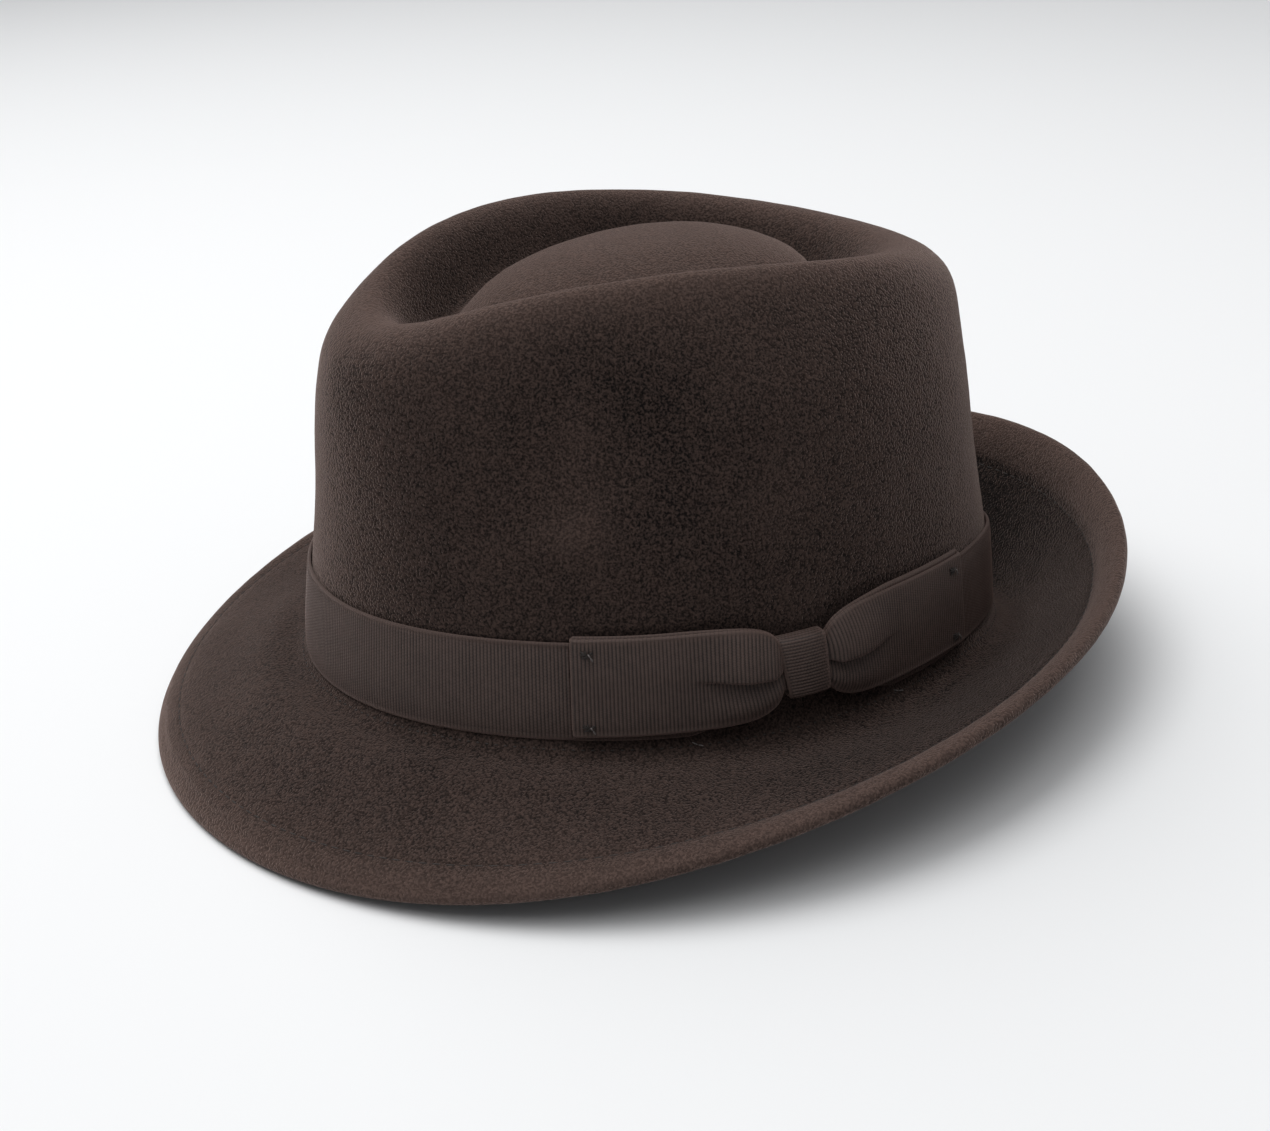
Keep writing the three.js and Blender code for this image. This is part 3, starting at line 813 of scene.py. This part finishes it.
@dataclass(frozen=True)
class Grosgrain:
    """The section of a grosgrain ribbon: ribs across it and a firm bead along both edges."""

    pitch: float = 0.93 * MM
    rib: float = 0.26 * MM
    thickness: float = 0.85 * MM
    bead: float = 1.0 * MM
    steps: int = 4
    round_share: float = 2.2
    rows: tuple[float, ...] = (-0.86, -0.45, 0.0, 0.45, 0.86)

    def ribs(self, length: float) -> int:
        """Returns how many whole ribs a length holds."""
        return round(length / self.pitch)

    def crest(self, step: np.ndarray) -> np.ndarray:
        """Returns the height of the ribs at step numbers along the ribbon."""
        return self.rib * np.abs(np.sin(math.pi * step / self.steps)) ** 0.7

    def section(self, width: float) -> np.ndarray:
        """Gives the closed section of the ribbon.

        Args:
            width: the ribbon's width in metres.

        Returns:
            Rows of a share across from -1 to 1, and shares of the thickness, of the ribs and of the lighter
            edges, which are partly painted highlight.
        """
        edge = 1.0 - self.bead / (width / 2)
        near = 1.0 - 0.35 * self.bead / (width / 2)
        rim = [
            (1.0, 0.5, 0.0, 1.0), (near, 0.97, 0.2, 1.0),
            ((near + edge) / 2, 1.04, 0.3, 1.0), (edge, 0.86, 0.5, 0.5),
        ]
        front = [(-share, *rest) for share, *rest in rim] + [(share, 0.9, 1.0, 0.0) for share in self.rows]
        back = [(share, 0.0, 0.0, 0.0) for share in self.rows[::-1]]
        return np.array(front + rim[::-1] + [(near, 0.0, 0.0, 1.0), *back, (-near, 0.0, 0.0, 1.0)])

    def lay(self, columns: int, width: float, place: Placing) -> BMesh:
        """Lays a grid along a closed line and closes it both ways.

        Args:
            columns: steps along the ribbon.
            width: the ribbon's width in metres.
            place: gives places from columns of step numbers along and rows of step numbers across.

        Returns:
            A closed bmesh with its faces outward, a UV map in metres and its lighter edges marked, which are
            partly painted highlight.
        """
        section = self.section(width)
        rows = len(section)
        length, girth = columns / self.steps * self.pitch, self.round_share * width
        mesh = bmesh.new()
        layer = mesh.loops.layers.uv.new("cloth")
        selvage_and_highlight = mesh.verts.layers.float.new("selvage_and_highlight")
        bmesh.ops.create_grid(mesh, x_segments=columns, y_segments=rows, size=0.5, calc_uvs=False)
        steps = [(round((v.co.x + 0.5) * columns), round((v.co.y + 0.5) * rows)) for v in mesh.verts]
        for face in mesh.faces:
            for loop in face.loops:
                loop[layer].uv = ((loop.vert.co.x + 0.5) * length, (loop.vert.co.y + 0.5) * girth)
        places = place(np.arange(columns), np.arange(rows))
        for vert, (column, row) in zip(mesh.verts, steps):
            vert.co = places[row % rows, column % columns]
            # Marks the lighter edges, partly their weave and partly painted highlight.
            vert[selvage_and_highlight] = section[row % rows, 3]
        bmesh.ops.remove_doubles(mesh, verts=mesh.verts, dist=1e-7)
        bmesh.ops.recalc_face_normals(mesh, faces=mesh.faces)
        return mesh

    def parts(self, width: float, across: np.ndarray) -> tuple[np.ndarray, np.ndarray, np.ndarray]:
        """Returns the shares across, of the thickness and of the ribs at steps round the section."""
        return tuple(self.section(width)[across, k][:, None] for k in range(3))


@dataclass(frozen=True)
class BowLine:
    """Where the ribbon and the bow run, and how the ribbon is drawn together behind the knot."""

    angle: float = math.radians(85)
    width: float = 24.4 * MM
    raise_by: float = 2.5 * MM
    tilt: float = math.radians(0.6)
    knot_width: float = 12.4 * MM
    gathered: float = 0.44
    gather_reach: float = 30 * MM
    rear_rise: float = 2 * MM

    def middle(self, along: np.ndarray) -> np.ndarray:
        """Returns the height of the bow's middle above the foot of the crown, at lengths from the knot."""
        return self.width / 2 + self.raise_by + along * math.tan(self.tilt)

    def band_height(self, share: np.ndarray, along: np.ndarray, angle: np.ndarray) -> np.ndarray:
        """Returns heights above the foot at shares of the ribbon's width.

        Args:
            share: shares across from 0 to 1, in rows.
            along: length from the knot, one for each column.
            angle: angle round the hat, one for each column.

        Returns:
            Heights in metres.
        """
        open_share = ramp(np.abs(along), self.knot_width / 2, self.gather_reach)[None, :]
        drawn = self.middle(along)[None, :] + (share - 0.5) * self.gathered * self.width
        raised = share * self.width + self.rear_rise * ramp(-np.cos(angle), 0.3, 0.8)[None, :]
        return drawn + (raised - drawn) * open_share


@dataclass
class RibbonBand:
    """The grosgrain ribbon round the foot of the crown, with vertical ribs."""

    surface: FeltSurface
    line: BowLine
    stand_off: float = 0.25 * MM
    cloth: Grosgrain = field(default_factory=Grosgrain)

    def build(self, finishes: Finishes) -> Object:
        """Builds the closed band over the solid that it replaces."""
        angles, lengths = self.surface.girth(FeltRow.RIBBON_LOW)
        ribs = self.cloth.ribs(lengths[-1])
        columns = ribs * self.cloth.steps

        def place(steps: np.ndarray, across: np.ndarray) -> np.ndarray:
            angle = np.interp(steps / columns * lengths[-1], lengths, angles)
            along = self.surface.distance_to(angle, self.line.angle)
            share, depth, rib = self.cloth.parts(self.line.width, across)
            height = self.line.band_height(0.5 * (1.0 + share), along, angle)
            out = self.stand_off + depth * self.cloth.thickness + rib * self.cloth.crest(steps)[None, :]
            return self.surface.wall(height, angle, out)

        mesh = self.cloth.lay(columns, self.line.width, place)
        piece = dress("grosgrain_band", mesh, finishes.ribbon)
        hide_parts("ribbon_band")
        return piece


@dataclass
class FlatBow:
    """The bow: one loop of ribbon pressed flat, gathered in the middle."""

    surface: FeltSurface
    line: BowLine
    front_length: float = 57.6 * MM
    rear_length: float = 60 * MM
    seat: float = 1.6 * MM
    knot_room: float = 1.3 * MM
    knot_raise: float = 0.8 * MM
    layer_gap: float = 1.0 * MM
    gather: float = 3.1 * MM
    overhang: float = 1.5 * MM
    lean: float = 1.3 * MM
    back_layer_shift: float = 1.0 * MM
    opens_at: float = 0.105
    opens_over: float = 0.075
    cloth: Grosgrain = field(default_factory=lambda: Grosgrain(
        thickness=0.75 * MM,
        rib=0.24 * MM,
        rows=(
            -0.84, -0.74, -0.62, -0.5, -0.38, -0.28, -0.2, -0.13, -0.07, -0.03,
            0.01, 0.05, 0.1, 0.16, 0.24, 0.34, 0.46, 0.6, 0.74, 0.85,
        ),
    ))

    @property
    def side(self) -> float:
        """Returns the length of each flat side of the loop."""
        return self.front_length + self.rear_length - 2 * self.layer_gap

    @property
    def turn(self) -> float:
        """Returns the length that each end of the loop takes to turn over."""
        return math.pi * self.layer_gap / 2

    @property
    def front_face(self) -> float:
        """Returns how far the front of the bow stands out from the felt."""
        return self.seat + self.layer_gap + self.cloth.thickness + self.cloth.rib

    def half_share(self, along: np.ndarray) -> np.ndarray:
        """Returns how wide the ribbon is open at shares of a wing's length."""
        opened = 1.0 - np.exp(-np.maximum(along - self.opens_at, 0.0) / self.opens_over)
        return self.line.gathered + (1.0 - self.line.gathered) * opened

    def lift_share(self, along: np.ndarray) -> np.ndarray:
        """Returns how far the ribbon stands out over the back of the knot at shares of a wing's length."""
        return 1.0 - ramp(along, 0.16, 0.84)

    def fold_share(self, along: np.ndarray) -> np.ndarray:
        """Returns how deep the gather is at shares of a wing's length."""
        return plateau(along, (0.07, 0.17), (0.24, 0.52))

    def pleat(self, across: np.ndarray) -> np.ndarray:
        """Returns how far the gather lifts the ribbon at shares across it: a ridge over a sharp fold."""
        round_top = np.cos(0.5 * math.pi * np.clip((across - 0.08) / 0.92, 0, 1))
        upper = ramp(across, -0.04, 0.06) * (0.22 + 0.78 * round_top)
        lower = 0.5 * ramp(-across, 0.16, 0.62) * (1.0 - 0.7 * ramp(-across, 0.7, 1.0))
        return upper + lower

    def loop_line(self, run: np.ndarray) -> tuple[np.ndarray, np.ndarray]:
        """Follows the flat loop once round, from its front end.

        Args:
            run: lengths along the loop in metres.

        Returns:
            Lengths round the crown from the knot, and how far the loop has turned over in radians.
        """
        front_end, rear_end = -self.front_length + self.layer_gap, self.rear_length - self.layer_gap
        first, second, third = self.side, self.side + self.turn, 2 * self.side + self.turn
        parts = [run < first, run < second, run < third]
        bend = np.where(run < second, run - first, run - third) / (self.layer_gap / 2)
        swing = np.select(parts, [np.zeros_like(run), bend, np.full_like(run, math.pi)], math.pi + bend)
        over = np.sin(swing) * self.layer_gap / 2
        choices = [front_end + run, rear_end + over, rear_end - (run - second)]
        along = np.select(parts, choices, front_end + over)
        return along, swing

    def bent(self, along: np.ndarray, up: np.ndarray, out: np.ndarray) -> np.ndarray:
        """Finds places where every point has its own length round the crown.

        Args:
            along: lengths round from the knot in metres.
            up: heights above the bow's middle in metres.
            out: distances out from the felt in metres.

        Returns:
            Places in metres.
        """
        flat = along.ravel()
        heights = (up.ravel() + self.line.middle(flat))[None, :]
        angles = self.surface.angle_at(flat, self.line.angle)
        found = self.surface.wall(heights, angles, out.ravel()[None, :])
        return found.reshape(along.shape + (3,))

    def build(self, finishes: Finishes) -> Object:
        """Builds the loop over the solid that it replaces."""
        length = 2 * (self.side + self.turn)
        ribs = self.cloth.ribs(length)
        columns = ribs * self.cloth.steps

        def place(steps: np.ndarray, across: np.ndarray) -> np.ndarray:
            along, swing = self.loop_line(steps / columns * length)
            layer = 0.5 * np.cos(swing)
            reach = np.where(along < 0, self.front_length, self.rear_length)
            share = np.clip(np.abs(along) / reach, 0, 1)
            side, depth, rib = self.cloth.parts(self.line.width, across)
            half = self.half_share(share)[None, :] * self.line.width / 2
            fold = self.fold_share(share)[None, :]
            face = (depth - 0.5) * self.cloth.thickness + rib * self.cloth.crest(steps)[None, :]
            lift = self.lift_share(share)[None, :]
            middle = self.seat + 0.5 * self.cloth.thickness + 0.5 * self.layer_gap + lift * self.knot_room
            out = middle + layer[None, :] * self.layer_gap + face * np.cos(swing)[None, :]
            out = out + fold * self.gather * self.pleat(side)
            wing = np.where(along > 0, 1.0, 0.3) * (0.5 - layer) * ramp(share, 0.2, 0.5)
            over = self.overhang * fold * swell(side, 0.07, 0.1)
            up = side * half + self.back_layer_shift * wing[None, :] + lift * self.knot_raise - over
            pull = self.lean * fold * side * side * np.sign(-along)[None, :]
            push = face * np.sin(swing)[None, :]
            return self.bent(along[None, :] + pull + push, up, out)

        mesh = self.cloth.lay(columns, self.line.width, place)
        piece = dress("bow_loop", mesh, finishes.ribbon)
        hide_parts("bow_ribbon")
        return piece


@dataclass
class BowKnot:
    """The turn of ribbon round the gathered middle of the bow, with level ribs."""

    bow: FlatBow
    height: float = 15 * MM
    depth: float = 4.4 * MM
    taper: float = 1 * MM
    slant: float = 0.9 * MM
    swell: float = 0.5 * MM
    squareness: float = 0.32
    over_bow: float = 1.0 * MM
    cloth: Grosgrain = field(default_factory=lambda: Grosgrain(
        pitch=0.8 * MM, thickness=0.8 * MM, rib=0.2 * MM, bead=0.8 * MM
    ))

    def build(self, finishes: Finishes) -> Object:
        """Builds the closed turn over the solid that it replaces."""
        turn = np.linspace(0, 2 * math.pi, ROUND_STEPS)
        waves = np.sin(turn), np.cos(turn)
        rising, facing = (np.sign(wave) * np.abs(wave) ** self.squareness for wave in waves)
        inner_height = self.height / 2 - self.cloth.thickness
        inner_depth = self.depth / 2 - self.cloth.thickness
        path = np.stack([rising * (self.height / 2), facing * (self.depth / 2)], axis=-1)
        lengths = np.concatenate([[0.0], np.cumsum(np.linalg.norm(np.diff(path, axis=0), axis=1))])
        ribs = self.cloth.ribs(lengths[-1])
        columns = ribs * self.cloth.steps
        middle = self.bow.seat + self.bow.knot_room + self.over_bow

        def place(steps: np.ndarray, across: np.ndarray) -> np.ndarray:
            run = steps / columns * lengths[-1]
            rise, front = np.interp(run, lengths, rising)[None, :], np.interp(run, lengths, facing)[None, :]
            side, depth, rib = self.cloth.parts(self.bow.line.knot_width, across)
            face = depth * self.cloth.thickness + rib * self.cloth.crest(steps)[None, :]
            high, deep = inner_height + face, inner_depth + face
            out = middle + front * deep + self.swell * (1.0 - side * side) * ramp(front, 0.0, 0.6)
            along = side * (self.bow.line.knot_width + rise * self.taper) / 2 - rise * self.slant
            return self.bow.bent(along, rise * high + self.bow.knot_raise, out)

        mesh = self.cloth.lay(columns, self.bow.line.knot_width, place)
        piece = dress("knot_turn", mesh, finishes.knot)
        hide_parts("bow_knot")
        return piece


@dataclass
class Sewing:
    """The stitches of the welt, the crown's foot and the bow's corners."""

    surface: FeltSurface
    bow: FlatBow
    felt: Object
    welt_pitch: float = 3.5 * MM
    welt_length: float = 2.5 * MM
    welt_sink: float = 0.35 * MM
    underside_sink: float = 4.05 * MM
    foot_pitch: float = 2.4 * MM
    foot_share: float = 0.42
    thread: float = 0.42 * MM
    foot_thread: float = 0.5 * MM
    tack_thread: float = 0.55 * MM
    end_thread: float = 0.45 * MM
    loose_thread: float = 0.4 * MM
    tack_bulge: float = 0.35 * MM
    tack_lengths: tuple[float, float] = (-53.5 * MM, 54.5 * MM)
    tack_heights: tuple[float, float] = (8.6 * MM, -9.4 * MM)
    tack_strands: tuple[tuple[float, ...], ...] = (
        (-1.5, 0.9, 1.3, -0.6), (-1.2, -0.9, 1.5, 0.7), (-0.3, 1.1, 0.2, -1.1), (-1.6, 0.1, 1.6, 0.2),
    )
    loose_ends: tuple[float, float] = (-27.5 * MM, 31 * MM)

    def __post_init__(self) -> None:
        """Makes the round form that every stitch is stretched from, and finds the felt's own face."""
        self.skin = BVHTree.FromObject(self.felt, bpy.context.evaluated_depsgraph_get())
        mesh = bmesh.new()
        bmesh.ops.create_uvsphere(mesh, u_segments=6, v_segments=4, radius=1.0)
        self.seed = bpy.data.meshes.new("stitch")
        mesh.to_mesh(self.seed)
        mesh.free()

    def stitch(self, mesh: BMesh, start: np.ndarray, end: np.ndarray, thick: float) -> None:
        """Adds one rounded stitch between two places.

        Args:
            mesh: the bmesh that it is added to.
            start: one end in metres.
            end: the other end in metres.
            thick: the thread's diameter in metres.
        """
        way = Vector(end - start)
        turn = way.to_track_quat("Z", "Y").to_matrix().to_4x4()
        scale = Matrix.Diagonal((thick / 2, thick / 2, way.length / 2, 1.0))
        copy = self.seed.copy()
        copy.transform(Matrix.Translation(Vector((start + end) / 2)) @ turn @ scale)
        mesh.from_mesh(copy)
        bpy.data.meshes.remove(copy)

    def thread_line(self, mesh: BMesh, places: np.ndarray, thick: float) -> None:
        """Adds rounded stitches from place to place."""
        for start, end in zip(places, places[1:]):
            self.stitch(mesh, start, end, thick)

    def along_row(
        self, mesh: BMesh, row: float, pitch: float, share: float, sink: float, thick: float
    ) -> None:
        """Adds a line of stitches round the hat along one row of the felt.

        Args:
            mesh: the bmesh that they are added to.
            row: the row they follow.
            pitch: from stitch to stitch in metres.
            share: how much of the pitch a stitch covers.
            sink: how far below the outer face to look for the face that they lie on, in metres.
            thick: the thread's diameter in metres.
        """
        angles, lengths = self.surface.girth(row)
        count = round(lengths[-1] / pitch)
        for index in range(count):
            ends = np.interp((np.array([index, index + share]) / count) * lengths[-1], lengths, angles)
            sought = self.surface.at(row, ends) - sink * self.surface.off(row, ends)
            places = [np.array(self.skin.find_nearest(Vector(place))[0]) for place in sought]
            self.stitch(mesh, places[0], places[1], thick)

    def build_welt(self, finishes: Finishes) -> Object:
        """Builds the welt's stitches, on top of the brim and under it."""
        mesh = bmesh.new()
        share = self.welt_length / self.welt_pitch
        self.along_row(mesh, FeltRow.WELT, self.welt_pitch, share, self.welt_sink, self.thread)
        self.along_row(mesh, FeltRow.WELT + 0.5, self.welt_pitch, share, self.underside_sink, self.thread)
        return dress("welt_stitches", mesh, finishes.felt_thread)

    def build_foot(self, finishes: Finishes) -> Object:
        """Builds the small stitches in the fold at the foot of the crown, which hold the band."""
        mesh = bmesh.new()
        self.along_row(mesh, FeltRow.FOOT + 0.75, self.foot_pitch, self.foot_share, 0.0, self.foot_thread)
        return dress("foot_stitches", mesh, finishes.felt_thread)

    def build_tacks(self, finishes: Finishes) -> Object:
        """Builds the dark crossed tacks at the bow's four corners."""
        mesh = bmesh.new()
        out = self.bow.front_face + np.array([[0.0, self.tack_bulge, 0.0]])
        for along, up in product(self.tack_lengths, self.tack_heights):
            for strand in self.tack_strands:
                x0, y0, x1, y1 = (value * MM for value in strand)
                run, rise = np.array([[x0, (x0 + x1) / 2, x1]]), np.array([[y0, (y0 + y1) / 2, y1]])
                line = self.bow.bent(along + run, up + rise, out)
                self.thread_line(mesh, line[0], self.tack_thread)
        return dress("bow_tacks", mesh, finishes.felt_thread)

    def build_ends(self, finishes: Finishes) -> Object:
        """Builds the pale thread ends at the tacks and the two that show under the bow."""
        mesh = bmesh.new()
        run, rise, out = np.array([[0.4, 1.0, 1.5], [0.5, -0.2, -1.5], [0.7, 0.9, 0.4]])[:, None, :] * MM
        for along, up in product(self.tack_lengths, self.tack_heights):
            line = self.bow.bent(along + run, up + rise, self.bow.front_face + out)
            self.thread_line(mesh, line[0], self.end_thread)
        rows = FeltRow.FOOT + np.array([0.5, 0.75, 0.9])
        for along in self.loose_ends:
            angles = self.surface.angle_at(along + np.array([-1.4, 0.0, 1.5]) * MM, self.bow.line.angle)
            places = self.surface.at(rows, angles) + self.end_thread * self.surface.off(rows, angles)
            self.thread_line(mesh, places, self.loose_thread)
        return dress("thread_ends", mesh, finishes.bow_thread)


@dataclass(frozen=True)
class SoftLight:
    """A soft square light that faces the hat.

    Args:
        name: its name.
        place: where it hangs, in metres.
        size: its side in metres.
        watts: its power.
        spread: how wide it shines, in degrees.
    """

    name: str
    place: tuple[float, float, float]
    size: float
    watts: float
    spread: float = 150.0

    def build(self) -> None:
        """Hangs the light."""
        data = bpy.data.lights.new(self.name, "AREA")
        data.shape, data.size = "SQUARE", self.size
        data.energy, data.spread = self.watts, math.radians(self.spread)
        light = bpy.data.objects.new(self.name, data)
        light.location = self.place
        light.rotation_mode = "QUATERNION"
        light.rotation_quaternion = (Vector(self.place) - Vector((0, 0, 0.06))).to_track_quat("Z", "Y")
        bpy.context.scene.collection.objects.link(light)


@dataclass
class Studio:
    """The pale floor, the soft lights and the camera."""

    azimuth: float = math.radians(60.23)
    elevation: float = math.radians(20.88)
    roll: float = math.radians(-3.06)
    distance: float = 0.5586
    target: tuple[float, float, float] = (0.0, 0.00244, 0.060)
    focal_pixels: float = 2011.0
    principal: tuple[float, float] = (650.9, 466.5)
    floor_size: float = 24.0
    floor_colour: Colour = (0.86, 0.865, 0.87)
    world_colour: Colour = (0.95, 0.97, 1.0)
    world_strength: float = 0.24
    lights: tuple[SoftLight, ...] = (
        SoftLight("key", (-0.85, -0.22, 1.75), 2.2, 24.0),
        SoftLight("top", (0.2, -0.2, 1.5), 1.8, 8.5),
    )

    def build_camera(self) -> None:
        """Builds the camera at the photograph's viewing angle."""
        a, e = self.azimuth, self.elevation
        back = Vector((math.sin(a) * math.cos(e), -math.cos(a) * math.cos(e), math.sin(e)))
        level = Vector((math.cos(a), math.sin(a), 0.0))
        up = back.cross(level)
        right = math.cos(self.roll) * level + math.sin(self.roll) * up
        up = math.cos(self.roll) * up - math.sin(self.roll) * level
        data = bpy.data.cameras.new("camera")
        data.sensor_width = 36.0
        data.lens = self.focal_pixels / PHOTO_WIDTH * data.sensor_width
        data.shift_x = (PHOTO_WIDTH / 2 - self.principal[0]) / PHOTO_WIDTH
        data.shift_y = (self.principal[1] - PHOTO_HEIGHT / 2) / PHOTO_WIDTH
        data.clip_start, data.clip_end = 0.01, 60.0
        camera = bpy.data.objects.new("camera", data)
        turn = Matrix((right, up, back)).transposed().to_4x4()
        camera.matrix_world = Matrix.Translation(Vector(self.target) + back * self.distance) @ turn
        bpy.context.scene.collection.objects.link(camera)
        bpy.context.scene.camera = camera

    def build_floor(self) -> None:
        """Builds the plain pale floor under the hat."""
        mesh = bmesh.new()
        bmesh.ops.create_grid(mesh, x_segments=2, y_segments=2, size=self.floor_size / 2)
        data = bpy.data.meshes.new("floor")
        mesh.to_mesh(data)
        mesh.free()
        floor = bpy.data.objects.new("floor", data)
        material = bpy.data.materials.new("floor_paper")
        material.use_nodes = True
        shader = material.node_tree.nodes["Principled BSDF"]
        shader.inputs["Base Color"].default_value = (*self.floor_colour, 1.0)
        shader.inputs["Roughness"].default_value = 0.9
        shader.inputs["Specular IOR Level"].default_value = 0.1
        data.materials.append(material)
        bpy.context.scene.collection.objects.link(floor)

    def build(self) -> None:
        """Builds the whole studio."""
        self.build_camera()
        self.build_floor()
        world = bpy.data.worlds.new("studio")
        world.use_nodes = True
        background = world.node_tree.nodes["Background"]
        background.inputs["Color"].default_value = (*self.world_colour, 1.0)
        background.inputs["Strength"].default_value = self.world_strength
        bpy.context.scene.world = world
        for light in self.lights:
            light.build()
        bpy.context.scene.view_settings.view_transform = "Standard"


def report(piece: Object) -> None:
    """Logs a piece's name and how many triangles it has."""
    piece.data.calc_loop_triangles()
    LOG.info("%s: %d triangles", piece.name, len(piece.data.loop_triangles))


def main() -> None:
    """Builds the studio, the felt, the ribbon, the bow and the sewing, in that order."""
    logging.basicConfig(level=logging.INFO, format="%(name)s %(message)s")
    Studio().build()
    finishes = Finishes.build()
    hat = FeltHat()
    felt = hat.build(finishes)
    report(felt)
    line = BowLine()
    report(RibbonBand(hat.surface, line).build(finishes))
    bow = FlatBow(hat.surface, line)
    report(bow.build(finishes))
    report(BowKnot(bow).build(finishes))
    sewing = Sewing(hat.surface, bow, felt)
    report(sewing.build_welt(finishes))
    report(sewing.build_foot(finishes))
    report(sewing.build_tacks(finishes))
    report(sewing.build_ends(finishes))


if __name__ == "__main__":
    main()
